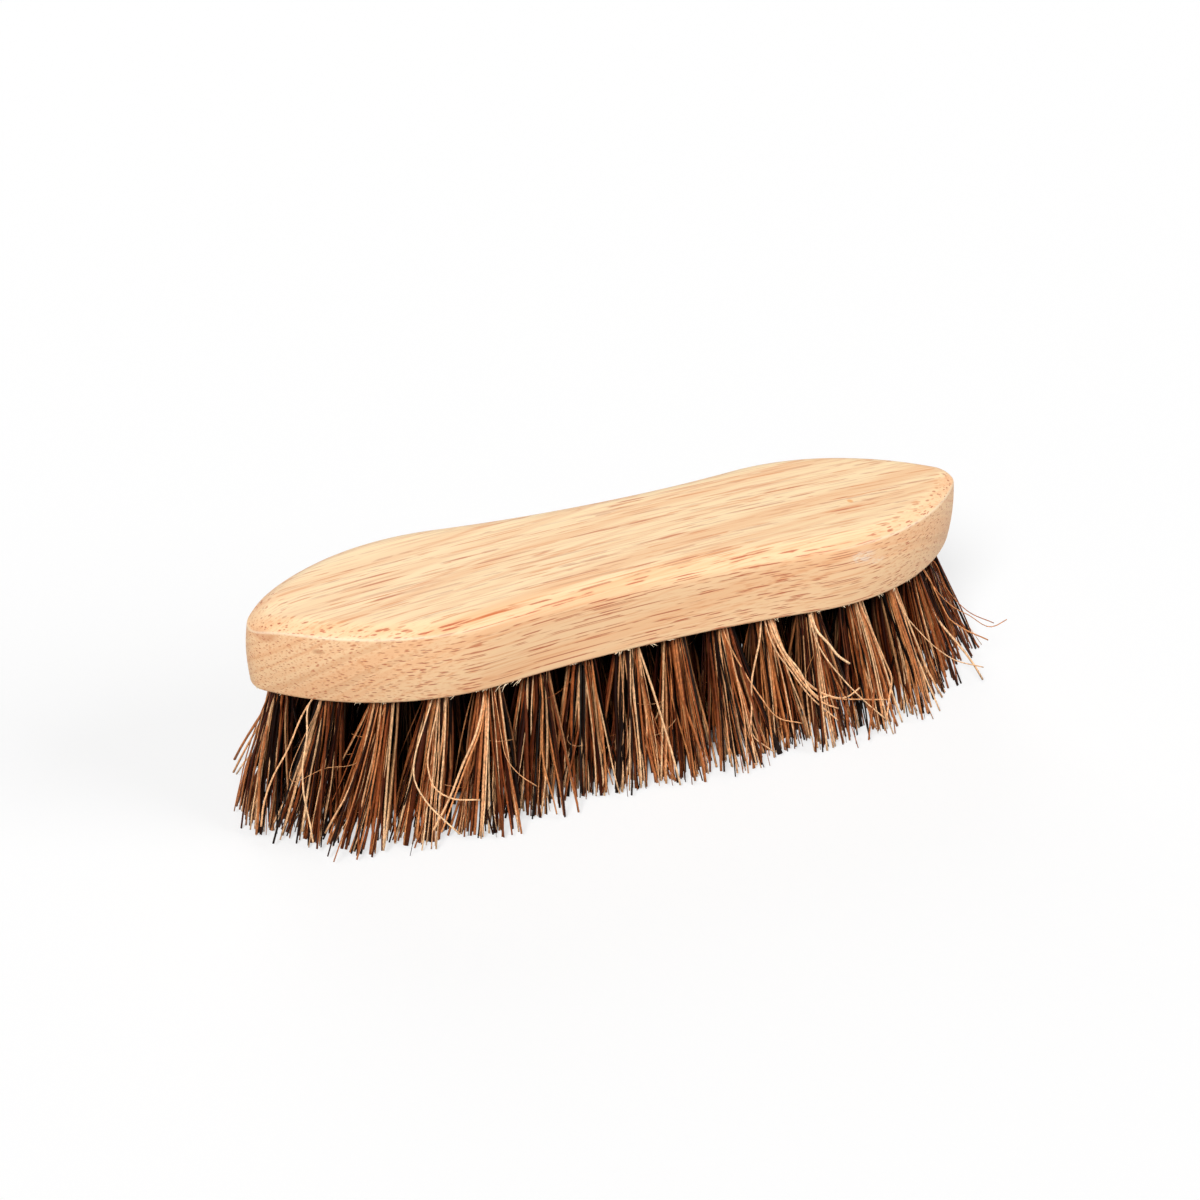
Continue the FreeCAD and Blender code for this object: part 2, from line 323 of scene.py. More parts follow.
    wood = (*settings.sapwood, 1.0)
    for level, tint in coats:
        wood = node(tree, "Mix", {0: level, 6: wood, 7: (*tint, 1.0)}, data_type="RGBA")
    fine = patches(9, 0.3, 0.3, 3.0)
    relief = node(tree, "Math", {0: pores, 1: -0.12, 2: fine}, operation="MULTIPLY_ADD")
    bump = node(tree, "Bump", {"Height": relief, "Strength": 0.6, "Distance": 0.02 * MM})
    sheen = node(tree, "MapRange", {"Value": streaks, "To Min": 0.45, "To Max": 0.6})
    fill(tree, shader, {"Base Color": wood, "Roughness": sheen, "Normal": bump, "IOR": 1.47})
    return material


def torn_material(settings):
    """Rubberwood torn across by the cutter: raw, unoiled fibre, paler and duller than the face."""
    material, tree, shader = new_material("rubberwood_torn")
    specks = node(tree, "TexNoise", {"Vector": millimetres(tree), "Scale": 2.5, "Detail": 3.0})
    raw = node(tree, "ValToRGB", {"Fac": specks}, stops=[(0.3, settings.sapwood), (0.7, settings.torn_wood)])
    fill(tree, shader, {"Base Color": raw, "Roughness": 0.8})
    return material


def bassine_material(settings):
    """Bassine, a split palm leaf-base fibre: every fibre its own brown, streaked along its
    length, with a waxy skin that catches a thin line of light."""
    material, tree, shader = new_material("bassine_fibre_dry")
    place = millimetres(tree)
    own = node(tree, "Attribute", attribute_name="fibre_tone", attribute_type="GEOMETRY").outputs["Color"]
    tone, along, buried = node(tree, "SeparateColor", {"Color": own}).outputs
    browns = node(
        tree, "ValToRGB", {"Fac": tone},
        stops=[
            (0.0, settings.darkest), (0.14, settings.blackened), (0.25, settings.dark),
            (0.5, settings.middle), (0.75, settings.light), (1.0, settings.palest),
        ],
    )

    # Streaks a quarter of a millimetre wide run down each fibre.
    finer = (1 / 0.25, 1 / 0.25, 1 / 7)
    cells = node(tree, "VectorMath", {0: place, 1: finer}, operation="MULTIPLY")
    streaks = node(tree, "TexNoise", {"Vector": cells, "Scale": 1.0, "Detail": 3.0})
    shade = node(
        tree, "MapRange", {"Value": streaks, "From Min": 0.3, "From Max": 0.7, "To Min": 0.6, "To Max": 1.35}
    )
    # Scurf and broken skin mottle it every millimetre or so.
    cells = node(tree, "VectorMath", {0: place, 1: (1.5, 1.5, 0.6)}, operation="MULTIPLY")
    skin = {"Vector": cells, "Scale": 1.0, "Detail": 3.0, "Roughness": 0.6}
    scurf = node(tree, "TexNoise", skin)
    mottle = node(
        tree, "MapRange", {"Value": scurf, "From Min": 0.35, "From Max": 0.65, "To Min": 0.72, "To Max": 1.28}
    )
    shade = node(tree, "Math", {0: shade, 1: mottle}, operation="MULTIPLY")
    # Painted shade: fibres deep in the brush, and at the backs of the outer tufts, are darkened toward their
    # roots, and the darkening clears toward the tips.
    to_tip = node(tree, "Math", {0: along, 1: 3.0}, operation="POWER")
    to_root = node(tree, "Math", {0: 1.0, 1: to_tip}, operation="SUBTRACT")
    root_shade = node(tree, "Math", {0: to_root, 1: buried}, operation="MULTIPLY")
    clear = node(tree, "Math", {0: root_shade, 1: -0.92, 2: 1.0}, operation="MULTIPLY_ADD")
    depth = node(tree, "Math", {0: root_shade, 1: 0.6, 2: 1.0}, operation="MULTIPLY_ADD")
    # The painted shade also deepens and warms the browns.
    browns = node(tree, "Gamma", {"Color": browns, "Gamma": depth})
    shade = node(tree, "Math", {0: shade, 1: clear}, operation="MULTIPLY")
    browns = node(tree, "VectorMath", {0: browns, "Scale": shade}, operation="SCALE")
    relief = node(tree, "Bump", {"Height": streaks, "Strength": 0.5, "Distance": 0.05 * MM})
    gloss = node(tree, "MapRange", {"Value": streaks, "To Min": 0.38, "To Max": 0.58})
    # Weathered fibre has lost its wax, so it shines least.
    wax = node(tree, "MapRange", {"Value": tone, "To Min": 0.03, "To Max": 0.28})
    fill(tree, shader, {
        "Base Color": browns, "Roughness": gloss, "Specular IOR Level": wax, "Normal": relief, "IOR": 1.5,
    })
    return material


def staple_material():
    """Bright drawn steel wire: finely scratched, with a grey, half-dull shine."""
    material, tree, shader = new_material("steel_wire_drawn")
    lines = node(tree, "TexNoise", {"Vector": millimetres(tree), "Scale": 6.0, "Detail": 4.0})
    dullness = node(tree, "MapRange", {"Value": lines, "To Min": 0.28, "To Max": 0.5})
    grey = node(tree, "ValToRGB", {"Fac": lines}, stops=[(0.3, linear("#8d8f91")), (0.7, linear("#b9bbbd"))])
    fill(tree, shader, {"Base Color": grey, "Roughness": dullness, "Metallic": 1.0})
    return material


# Pieces

def add_piece(name, mesh, material, slot_name, *replaced):
    """Puts a finished mesh in the scene as a piece of the brush."""
    mesh.materials.append(material)
    piece = bpy.data.objects.new(name, mesh)
    bpy.context.scene.collection.objects.link(piece)
    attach(piece, "root")
    if replaced:
        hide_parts(*replaced)
    return piece


def tuft_line(name):
    """Where a tuft leaves the wood, and how far it moves sideways for each metre that it drops."""
    corners = np.array([vertex.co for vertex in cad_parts[name].data.vertices])
    heights = corners[:, 2]
    tips = corners[heights < 0.1 * MM].mean(axis=0)
    collar = corners[(heights > UNDERSIDE / 2) & (heights < UNDERSIDE - 0.1 * MM)].mean(axis=0)
    fall = (tips - collar) / (collar[2] - tips[2])
    return collar + fall * (collar[2] - UNDERSIDE), fall


def block_outline(settings):
    """Points round the block and their outward directions, by a tip, a bow and a waist arc."""
    half_length, half_width = BLOCK_HIGH.x, BLOCK_HIGH.y
    tip_x = half_length - settings.tip_radius
    reach = tip_x - settings.shoulder_station
    bow = (reach**2 + half_width**2 - settings.tip_radius**2) / (2 * (half_width - settings.tip_radius))
    rise = bow - settings.waist_depth
    waist = (settings.shoulder_station**2 + rise**2 - bow**2) / (2 * settings.waist_depth)
    bow_y, waist_y = half_width - bow, half_width - settings.waist_depth + waist
    tip_turn = math.atan2(-bow_y, reach)
    waist_turn = math.atan2(waist_y - bow_y, -settings.shoulder_station)
    arcs = [
        (tip_x, 0.0, settings.tip_radius, 0.0, tip_turn, 12, 1),
        (settings.shoulder_station, bow_y, bow, tip_turn, waist_turn, 44, 1),
        (0.0, waist_y, waist, waist_turn - math.pi, -math.pi / 2, 26, -1),
    ]
    quarter = []
    for x, y, radius, first, last, steps, side in arcs:
        for turn in np.linspace(first, last, steps, endpoint=False):
            way = np.array([math.cos(turn), math.sin(turn)])
            quarter.append((np.array([x, y]) + radius * way, side * way))
    middle = (np.array([0.0, half_width - settings.waist_depth]), np.array([0.0, 1.0]))
    upper = quarter + [middle] + [flip(pair, -1, 1) for pair in reversed(quarter)]
    lower = [flip(pair, -1, -1) for pair in quarter[1:]] + [flip(middle, 1, -1)]
    lower += [flip(pair, 1, -1) for pair in reversed(quarter[1:])]
    return upper + lower


def flip(pair, x, y):
    """A point of the outline and its direction, turned over where x or y is -1."""
    return pair[0] * (x, y), pair[1] * (x, y)


def walked_along(points):
    """How far along a line each of its points lies."""
    return np.concatenate([[0.0], np.cumsum(np.linalg.norm(np.diff(points, axis=0), axis=1))])


def side_profile(settings, softness):
    """The block's side in section as insets and heights, with its corners softened."""
    height, chamfer = BLOCK_HIGH.z - UNDERSIDE, settings.lower_chamfer
    edge_radius = (settings.edge_run**2 + settings.edge_drop**2) / (2 * settings.edge_drop)
    edge = [
        (settings.edge_run - edge_radius * math.sin(turn), height - edge_radius * (1 - math.cos(turn)))
        for turn in np.linspace(math.asin(settings.edge_run / edge_radius), 0.0, 12)
    ]
    lead = 4 * settings.soft_crease
    top = (settings.edge_run + lead, height)
    corners = np.array([(chamfer + lead, 0.0), (chamfer, 0.0), (0.0, chamfer), *edge, top])
    walked = walked_along(corners)
    # A bell-shaped average in fine steps softens the corners.
    step, reach = 0.05 * MM, 160
    fine = np.arange(0.0, walked[-1], step)
    line = np.column_stack([np.interp(fine, walked, corners[:, axis]) for axis in (0, 1)])
    bell = np.exp(-0.5 * (np.arange(-reach, reach + 1) * step / softness) ** 2)
    padded = np.pad(line, ((reach, reach), (0, 0)), mode="reflect", reflect_type="odd")
    soft = [np.convolve(padded[:, axis], bell / bell.sum(), mode="valid") for axis in (0, 1)]
    wanted = np.concatenate([
        np.linspace(lead, lead + 3 * chamfer, 8)[:-1],
        np.linspace(lead + 3 * chamfer, walked[3] - lead / 2, 10)[:-1],
        np.linspace(walked[3] - lead / 2, walked[-1] - lead + 0.9 * MM, 40),
    ])
    return np.column_stack([np.interp(wanted, fine, values) for values in soft])


def crease_softness(point, settings):
    """0 at the ends, where the crease is crisp, to 1 along the waist, where it is worn soft."""
    share_out = (abs(point[0]) - 0.5 * settings.shoulder_station) / (0.8 * settings.shoulder_station)
    return 1.0 - min(max(share_out, 0.0), 1.0)


def block_mesh(settings):
    """The block in rings up its side and over its top, with its bored underside."""
    outline = block_outline(settings)
    crisp = side_profile(settings, settings.crisp_crease)
    soft = side_profile(settings, settings.soft_crease)
    # The soft profile keeps the crisp one's foot, so the lower arris stays sharp all round.
    foot_height = 4 * MM
    foot = np.clip(crisp[:, 1] / foot_height - 1, 0.0, 1.0)[:, None]
    soft = crisp * (1 - foot) + soft * foot
    form = bmesh.new()
    rubbed_highlight = form.verts.layers.float.new("rubbed_highlight")
    full = BLOCK_HIGH.z - UNDERSIDE
    crease = full - settings.edge_drop
    wear_reach, rubbed_highlight_width = 7 * MM, 0.32 * MM

    def add_corner(place, height):
        """A corner of the block, lowered where the left tip is worn."""
        near_tip = math.exp(-((place[0] - BLOCK_LOW.x) ** 2 + place[1] ** 2) / wear_reach**2)
        drop = settings.tip_wear * near_tip * min(max(2 * height / full - 0.8, 0.0), 1.0)
        return form.verts.new((place[0], place[1], UNDERSIDE + height - drop))

    rings = [[] for _ in crisp]
    for point, outward in outline:
        worn = crease_softness(point, settings)
        for ring, (inset, height) in zip(rings, crisp * (1 - worn) + soft * worn):
            swell = settings.end_bulge * (1 - worn) * max(math.sin(math.pi * min(height / crease, 1.0)), 0.0)
            vertex = add_corner(point - outward * (inset - swell), height)
            # A pale line along the crisp crease at the ends, partly rubbed wood and partly a painted
            # highlight.
            off_crease = math.hypot(inset, height - crease) / rubbed_highlight_width
            vertex[rubbed_highlight] = (1 - worn) * math.exp(-(off_crease**2))
            ring.append(vertex)
    # Rings across the top carry the worn tip down smoothly.
    rim = rings[-1]
    for scale in (0.98, 0.96, 0.94, 0.92, 0.9, 0.87, 0.84, 0.8, 0.7):
        rings.append([add_corner(vertex.co.xy * scale, full) for vertex in rim])
    count = len(outline)
    for lower, upper in zip(rings, rings[1:]):
        for here in range(count):
            after = (here + 1) % count
            form.faces.new((lower[here], lower[after], upper[after], upper[here]))
    form.faces.new(rings[-1])
    add_underside(form, rings[0], settings)
    bmesh.ops.recalc_face_normals(form, faces=form.faces)
    mesh = bpy.data.meshes.new("wooden_block")
    form.to_mesh(mesh)
    form.free()
    mesh.polygons.foreach_set("use_smooth", [True] * len(mesh.polygons))
    mesh.set_sharp_from_angle(angle=math.radians(40))
    return mesh


def add_underside(form, rim, settings, facets=24):
    """Fills the flat underside round the mouths of the holes, and lines the holes."""
    edges = [form.edges.get((rim[here - 1], rim[here])) for here in range(len(rim))]
    floors = []
    for name in TUFT_NODES:
        mouth, fall = tuft_line(name)
        axis = Vector(-fall).normalized()
        first = axis.orthogonal().normalized()
        second = axis.cross(first)
        loop, floor = [], []
        for turn in 2 * math.pi * np.arange(facets) / facets:
            spoke = (first * math.cos(turn) + second * math.sin(turn)) * settings.hole_radius
            rise = -spoke.z / axis.z
            corner = Vector(mouth) + spoke + axis * rise
            loop.append(form.verts.new((corner.x, corner.y, rim[0].co.z)))
            floor.append(form.verts.new(Vector(mouth) + spoke + axis * settings.hole_depth))
        for here in range(facets):
            after = (here + 1) % facets
            edges.append(form.edges.new((loop[here], loop[after])))
            form.faces.new((loop[here], loop[after], floor[after], floor[here]))
        floors.append(floor)
    bmesh.ops.triangle_fill(form, use_beauty=True, edges=edges)
    for floor in floors:
        form.faces.new(floor)


def fibre_mesh(name, paths, widths, flatness, turns, tones, buried=None, sides=6):
    """One mesh of closed tubes. Paths is fibres by rings by 3, and widths fibres by rings."""
    paths, widths, tones = np.array(paths), np.array(widths), np.array(tones)
    count, rings = paths.shape[:2]
    tangents = np.gradient(paths, axis=1)
    tangents /= np.linalg.norm(tangents, axis=2, keepdims=True)
    aside = np.cross(tangents, np.array([0.31, 0.95, 0.05]))
    aside /= np.linalg.norm(aside, axis=2, keepdims=True)
    ahead = np.cross(tangents, aside)
    spokes = 2 * math.pi * np.arange(sides) / sides
    wide, thin = np.cos(spokes)[None, :], np.sin(spokes)[None, :] * flatness[:, None]
    cos_turn, sin_turn = np.cos(turns)[:, None], np.sin(turns)[:, None]
    along_aside = (wide * cos_turn - thin * sin_turn)[:, None, :, None]
    along_ahead = (wide * sin_turn + thin * cos_turn)[:, None, :, None]
    reach = widths[:, :, None, None] / 2
    skin = along_aside * aside[:, :, None, :] + along_ahead * ahead[:, :, None, :]
    points = paths[:, :, None, :] + reach * skin
    corner = np.arange(count * rings * sides).reshape(count, rings, sides)
    after = np.roll(corner, -1, axis=2)
    walls = np.stack([corner[:, :-1], after[:, :-1], after[:, 1:], corner[:, 1:]], axis=-1).reshape(-1, 4)
    caps = np.concatenate([corner[:, 0, ::-1], corner[:, -1, :]])
    mesh = bpy.data.meshes.new(name)
    mesh.from_pydata(points.reshape(-1, 3).tolist(), [], walls.tolist() + caps.tolist())
    mesh.polygons.foreach_set("use_smooth", [True] * len(walls) + [False] * len(caps))

    tone = np.ones((count, rings, sides, 4), np.float32)
    tone[..., 0] = tones[:, None, None]
    tone[..., 1] = np.linspace(0, 1, rings)[None, :, None]
    # The third channel is how buried the fibre lies, which the fibre material turns into painted shade toward
    # the root.
    tone[..., 2] = 0.0 if buried is None else buried[:, None, None]
    mesh.attributes.new("fibre_tone", "FLOAT_COLOR", "POINT").data.foreach_set("color", tone.ravel())

    # Every fibre has a strip of the map to itself, so that each keeps its own colour.
    across = 0.8 * np.arange(sides + 1)[None, None, :] / sides
    column = (np.arange(count)[:, None, None] + 0.1 + across) / count
    row = np.linspace(0.01, 0.99, rings)[None, :, None]
    strip = np.stack(np.broadcast_arrays(column, row), axis=-1)
    wall_map = np.stack([strip[:, :-1, :-1], strip[:, :-1, 1:], strip[:, 1:, 1:], strip[:, 1:, :-1]], axis=-2)
    cap_map = np.concatenate([strip[:, 0, sides - 1::-1], strip[:, -1, :sides]])
    loops = np.concatenate([wall_map.reshape(-1, 2), cap_map.reshape(-1, 2)])
    mesh.uv_layers.new(name="OFBake").data.foreach_set("uv", loops.ravel())
    return mesh


def fibre_tones(draw, count):
    """Mostly brown fibres, with some weathered dark ones and some pale ones."""
    tones = np.clip(draw.normal(0.56, 0.27, count), 0.1, 0.95)
    kind = draw.random(count)
    tones[kind < 0.15] = draw.uniform(0.0, 0.16, (kind < 0.15).sum())
    tones[kind > 0.85] = draw.uniform(0.8, 1.0, (kind > 0.85).sum())
    return tones


# Tufts that use has pushed over: how far their tips lean along and across the brush, in mm.
LEANS = {
    "tip_left": (4.0, -2.5), "near_01": (-1.0, 0.5), "near_02": (-4.0, 2.0),
    "near_03": (-2.5, 2.5), "near_04": (-1.0, -2.0), "near_06": (0.0, 1.5),
    "near_07": (0.0, -1.5), "near_08": (0.0, -2.0), "near_09": (0.0, -4.0),
    "near_10": (0.0, -1.0), "near_11": (0.0, -1.0), "near_13": (0.0, -1.0),
    "near_14": (1.0, -1.5), "tip_right": (3.0, -1.0), "far_03": (-3.0, 0.0),
}


def tuft_mesh(name, settings, hole_radius, draw, rings=11):
    """The fibres of one hole, which flare, cross a little and end near the trimmed plane."""
    mouth, fall = tuft_line(name)
    count = settings.per_tuft
    spread = draw.random(count) ** 0.38 * (hole_radius - 0.4 * settings.width)
    facing = draw.uniform(0, 2 * math.pi, count)
    start = np.column_stack([np.cos(facing), np.sin(facing)]) * spread[:, None]
    lift = np.minimum(draw.exponential(settings.raggedness, count), 10 * MM)
    depth = np.linspace(-4 * MM, UNDERSIDE - lift, rings).T
    run = np.clip(depth / UNDERSIDE, 0, None)

    flare = (settings.flare / hole_radius - 1) * run**1.1
    phase = draw.uniform(0, 2 * math.pi, count)[:, None]
    kink = np.clip(run - draw.uniform(0.45, 0.9, count)[:, None], 0, None)
    # Sideways shifts, most of them usual and a few wild, in mm at the tips, and how they grow.
    strayed = 0.0
    for usual, wild, odds, growth in (
        (2.2, 5.0, 0.25, run),
        (1.5, 3.6, 0.2, run**2.3),
        (0.35, 0.9, 0.25, run * np.sin(phase + 7.0 * run)),
        (0.0, 12.0, 0.15, kink),
    ):
        size = np.where(draw.random(count) < odds, wild, usual)[:, None] * MM
        shift = np.clip(draw.normal(0, 1, (count, 2)), -1.7, 1.7) * size
        strayed = strayed + shift[:, None, :] * growth[..., None]
    limit = 7.5 * MM
    aside = start[:, None, :] * (1 + flare)[..., None] + limit * np.tanh(strayed / limit)
    # Fibres lie together in locks, which draw in toward their tips.
    tips = aside[:, -1]
    leaders = tips[draw.integers(count, size=12)]
    lock = leaders[((tips[:, None] - leaders) ** 2).sum(axis=2).argmin(axis=1)]
    aside = aside + 0.18 * (lock - tips)[:, None] * (run**2)[..., None]
    # The outer tufts are pressed outward, so most of their tips stand near the rim.
    outward = fall[:2] / max(np.linalg.norm(fall[:2]), 1e-6)
    inner = 1.0 if "_mid_" in name or "_end_" in name else 0.0
    place = np.clip(aside @ outward / settings.flare, -1, 1)
    pressed = 0.38 * (1 - inner) * settings.flare * (1 - place**2) * run**1.5
    aside = aside + pressed[..., None] * outward
    lean = np.array(LEANS.get(name.removeprefix("tuft_"), (0.0, 0.0)))
    lean = lean + np.clip(draw.normal(0, 0.7, 2), -1.2, 1.2)
    aside = aside + lean * MM * (run**1.4)[..., None]
    paths = np.empty((count, rings, 3))
    paths[..., :2] = mouth[:2] + fall[:2] * depth[..., None] + aside
    # A fibre that leans out stands a little shorter.
    shortened = 0.3 * ((aside[:, -1] - start) ** 2).sum(axis=1) / UNDERSIDE**2
    paths[..., 2] = UNDERSIDE - depth * (1 - shortened)[:, None]

    tones = fibre_tones(draw, count)
    broad = draw.random(count) < 0.1
    widths = settings.width * np.clip(draw.normal(0.95, 0.38, count), 0.38, 1.7) * np.where(broad, 1.5, 1.0)
    widths = np.where(tones > 0.75, np.minimum(widths, 1.1 * settings.width), widths)
    tones = np.where(broad, tones * 0.5, tones)
    flatness = np.where(broad, 0.4, draw.uniform(0.55, 0.95, count))
    uneven = (1.0 - 0.05 * run**2) * (1.0 + 0.07 * np.sin(3 * phase + 15.0 * run))
    # How buried each fibre lies in the brush; the fibre material paints shade toward its root by this.
    buried = np.clip(inner + 0.6 - 0.65 * (start @ outward) / hole_radius, 0, 1)
    return fibre_mesh(name + "_fibres", paths, widths[:, None] * uneven, flatness, facing, tones, buried)


# Fibres that have sprung out of their tufts: tuft, tone, width in mm, then bends as steps
# along the brush and down from the hole, in mm.
SPRUNG = [
    ("near_10", 0.95, 0.50, [(0.5, 2), (3, 9.5), (7, 15.5), (10, 21.5), (12.5, 23.5), (14, 23)]),
    ("near_10", 0.85, 0.55, [(0, 2.5), (2, 9), (5.5, 15.5), (9.5, 21.5), (13, 25), (17, 27)]),
    ("near_10", 0.90, 0.45, [(-1, 2.5), (1, 9.5), (5, 16), (10, 23.5), (14, 27.5), (16.5, 30)]),
    ("near_10", 0.90, 0.60, [(1, 3), (4, 11.5), (8.5, 18.5), (14.5, 23.5), (20, 25), (24, 23)]),
    ("near_10", 0.80, 0.55, [(1.5, 3.5), (5, 13.5), (9.5, 20), (16, 24.5), (24.5, 26.5), (32.5, 28)]),
    ("near_11", 0.95, 0.50, [(-1.5, 1.5), (0, 9.5), (6.5, 20), (12, 26.5), (17.5, 32)]),
    ("near_11", 1.00, 0.90, [(-1, 1.5), (0, 6), (3, 10), (5, 13), (8, 15.5)]),
    ("near_12", 0.85, 0.60, [(4.5, 10.5), (7.5, 19), (8.5, 22.5), (7, 27), (5, 33)]),
    ("near_09", 0.80, 0.55, [(0, 2.5), (4.5, 13.5), (8, 20), (13, 27), (19.5, 29.5)]),
    ("near_10", 0.90, 0.60, [(-3, 5.5), (-7, 16.5), (-8, 23), (-9, 28), (-3, 34.5)]),
    ("near_13", 0.92, 0.45, [(1.5, 2.5), (3.5, 8.5), (7.5, 14), (13, 20), (17.5, 23.5), (27, 27.5)]),
    ("near_14", 0.70, 0.35, [(3.5, 3), (8.5, 10.5), (12.5, 14.5), (16.5, 17), (25, 22), (29, 20.5)]),
    ("near_14", 0.55, 0.35, [(7, 1), (10, 8), (13.5, 13), (16.5, 16), (25, 21)]),
    ("near_14", 0.70, 0.50, [(4.5, 4), (8.5, 12.5), (11.5, 18), (14, 20), (23, 25.5)]),
    ("near_14", 0.05, 0.50, [(6.5, 3), (9, 12), (12.5, 19.5), (15, 25), (17.5, 29.5)]),
    (
        "near_03", 0.97, 0.50,
        [(-4.5, 3), (-8, 9), (-10.5, 13.5), (-11.5, 17.5), (-9.5, 23.5), (-5.5, 29), (-2.5, 32.5)],
    ),
    ("near_03", 0.90, 0.45, [(-2.5, 3.5), (-5.5, 10), (-7.5, 17), (-6.5, 21.5), (-3.5, 24), (4, 26)]),
    ("near_04", 0.80, 0.25, [(-0.5, 6.5), (-0.5, 13), (0, 19), (2.5, 23), (6.5, 26.5)]),
    ("near_04", 0.88, 0.75, [(-7, 12.3), (-11.4, 18), (-15.9, 24.5), (-21.5, 31)]),
    ("near_04", 0.74, 0.55, [(-6, 12), (-10.6, 18.5), (-14.9, 25), (-19.5, 32)]),
    ("near_01", 0.95, 0.45, [(-8, 2), (-9, 7.5), (-11.5, 16.5), (-12, 21.5), (-11.5, 30.5), (-11.5, 34)]),
    ("near_01", 0.85, 0.50, [(-8.5, 2), (-14.5, 11), (-19, 16.5), (-22, 22), (-23.5, 27)]),
    ("near_01", 0.80, 0.15, [(-13, 19.5), (-5.5, 17.5), (0.5, 18), (8, 16), (11, 17)]),
]


def smooth_path(bends, rings):
    """Evenly spaced points on a curve that runs through every bend."""
    bends = np.array(bends)
    walked = walked_along(bends)
    slopes = np.gradient(bends, walked, axis=0)
    along = np.linspace(0, walked[-1], rings)
    span = np.clip(np.searchsorted(walked, along, side="right") - 1, 0, len(bends) - 2)
    gap = (walked[span + 1] - walked[span])[:, None]
    t = (along - walked[span])[:, None] / gap
    ends = (2 * t**3 - 3 * t**2 + 1) * bends[span] + (3 * t**2 - 2 * t**3) * bends[span + 1]
    return ends + gap * ((t**3 - 2 * t**2 + t) * slopes[span] + (t**3 - t**2) * slopes[span + 1])


def tuft_radius(settings, hole_radius, drop):
    """A tuft's radius this far below the wood."""
    return hole_radius + (settings.flare - hole_radius) * drop / UNDERSIDE


def sprung_mesh(settings, hole_radius, rings=26):
    """The sprung fibres, each lying on the outer skin of its tuft and lifting off toward its tip."""
    paths, widths, tones = [], [], []
    for name, tone, width, steps in SPRUNG:
        mouth, fall = tuft_line("tuft_" + name)
        bends = [mouth + (0.0, 0.0, 3 * MM)]
        for rise, (aside, drop) in enumerate(np.array(steps) * MM):
            skin = tuft_radius(settings, hole_radius, drop) + 0.5 * MM + 0.6 * MM * rise
            bends.append(mouth + (aside, fall[1] * drop - skin, -drop))
        paths.append(smooth_path(bends, rings))
        widths.append(np.full(rings, width * MM))
        tones.append(tone)
    count = len(SPRUNG)
    return fibre_mesh("sprung_fibres", paths, widths, np.full(count, 0.7), np.linspace(0, 3, count), tones)


def hair_mesh(settings, hole_radius, count=80, rings=11):
    """Hair-fine shreds that curl out of the tufts all round the brush."""
    draw = np.random.default_rng(77)
    outer = [name for name in TUFT_NODES if "_near_" in name or "_far_" in name]
    paths, widths, tones = [], [], []
    for _ in range(count):
        mouth, fall = tuft_line(outer[draw.integers(len(outer))])
        outward = np.array([*fall[:2], 0.0])
        outward /= np.linalg.norm(outward)
        drop = draw.uniform(8 * MM, 0.8 * UNDERSIDE)
        skin = tuft_radius(settings, hole_radius, drop)
        sideways = np.array([-outward[1], outward[0], 0.0]) * draw.choice([-1, 1])
        start = mouth + fall * drop + outward * skin * 0.8
        reach = draw.uniform(4 * MM, 17 * MM)
        turn = draw.uniform(-0.3, 1.3) + np.linspace(0, draw.choice([-1, 1]) * draw.uniform(0.7, 2.2), rings)
        way = sideways * np.cos(turn)[:, None] - np.array([0, 0, 1.0]) * np.sin(turn)[:, None]
        lift = outward * np.linspace(0, draw.uniform(0.05, 0.3), rings)[:, None]
        path = start + np.cumsum(way + lift, axis=0) * reach / rings
        path[:, 2] = np.clip(path[:, 2], 0.0, UNDERSIDE - 3 * MM)
        paths.append(path)
        widths.append(np.full(rings, draw.uniform(0.1, 0.17) * MM))
        tones.append(draw.uniform(0.5, 0.95))
    return fibre_mesh("fine_hairs", paths, widths, np.full(count, 0.8), np.zeros(count), tones, sides=4)


# Large chips on the near arris: station along the block and size, in mm.
CHIPS = [
    (-57.5, 2.0), (-43.5, 3.2), (-41.0, 2.8), (-26.0, 1.4), (-11.0, 1.8), (-3.5, 1.6), (2.0, 1.6),
    (32.0, 1.9), (45.0, 1.6), (64.0, 2.4), (70.5, 1.8),
]


def torn_mesh(settings, count=26, rings=5):
    """Little torn chips of wood that hang from the lower arris, where the cutter left it."""
    draw = np.random.default_rng(31)
    outline = block_outline(settings)
    near = [pair for pair in outline if pair[1][1] < 0]
    groups = []
    for station, size in CHIPS:
        nearest = min(near, key=lambda pair: abs(pair[0][0] - station * MM))
        groups.append((nearest, size * MM))
    groups += [(outline[draw.integers(len(outline))], draw.uniform(0.6, 1.3) * MM) for _ in range(count)]
    paths, widths = [], []
    for (point, outward), size in groups:
        along = np.array([-outward[1], outward[0]]) * draw.choice([-1, 1])
        for _ in range(draw.integers(3, 6)):
            reach = size * draw.uniform(0.5, 1.0)
            start = np.array([*(point - outward * 0.45 * MM), UNDERSIDE + 0.3 * MM])
            start[:2] += along * draw.uniform(-1, 1) * size / 2
            lean = along * draw.uniform(0.2, 1.2) + outward * draw.uniform(-0.1, 0.5)
            way = np.array([*lean, -draw.uniform(0.2, 0.7)])
            curl = np.array([*(outward * draw.uniform(-0.3, 0.3)), draw.uniform(-0.4, 0.5)])
            share_along = np.linspace(-0.3, 1, rings)[:, None]
            paths.append(start + reach * (way * share_along + curl * share_along**2))
            widths.append(draw.uniform(0.25, 0.6) * MM * np.linspace(1.0, 0.25, rings))
    half = np.full(len(paths), 0.5)
    return fibre_mesh("torn_arris", paths, widths, half, draw.uniform(0, 3, len(paths)), half, sides=4)


# Stage

def seen_ray(tree):
    """1 for rays that show the backdrop itself, 0 for the rays that light the brush with it."""
    ray = node(tree, "LightPath").outputs
    seen = ray["Is Camera Ray"]
    for kind in ("Is Glossy Ray", "Is Transmission Ray"):
        seen = node(tree, "Math", {0: seen, 1: ray[kind]}, operation="MAXIMUM")
    return seen


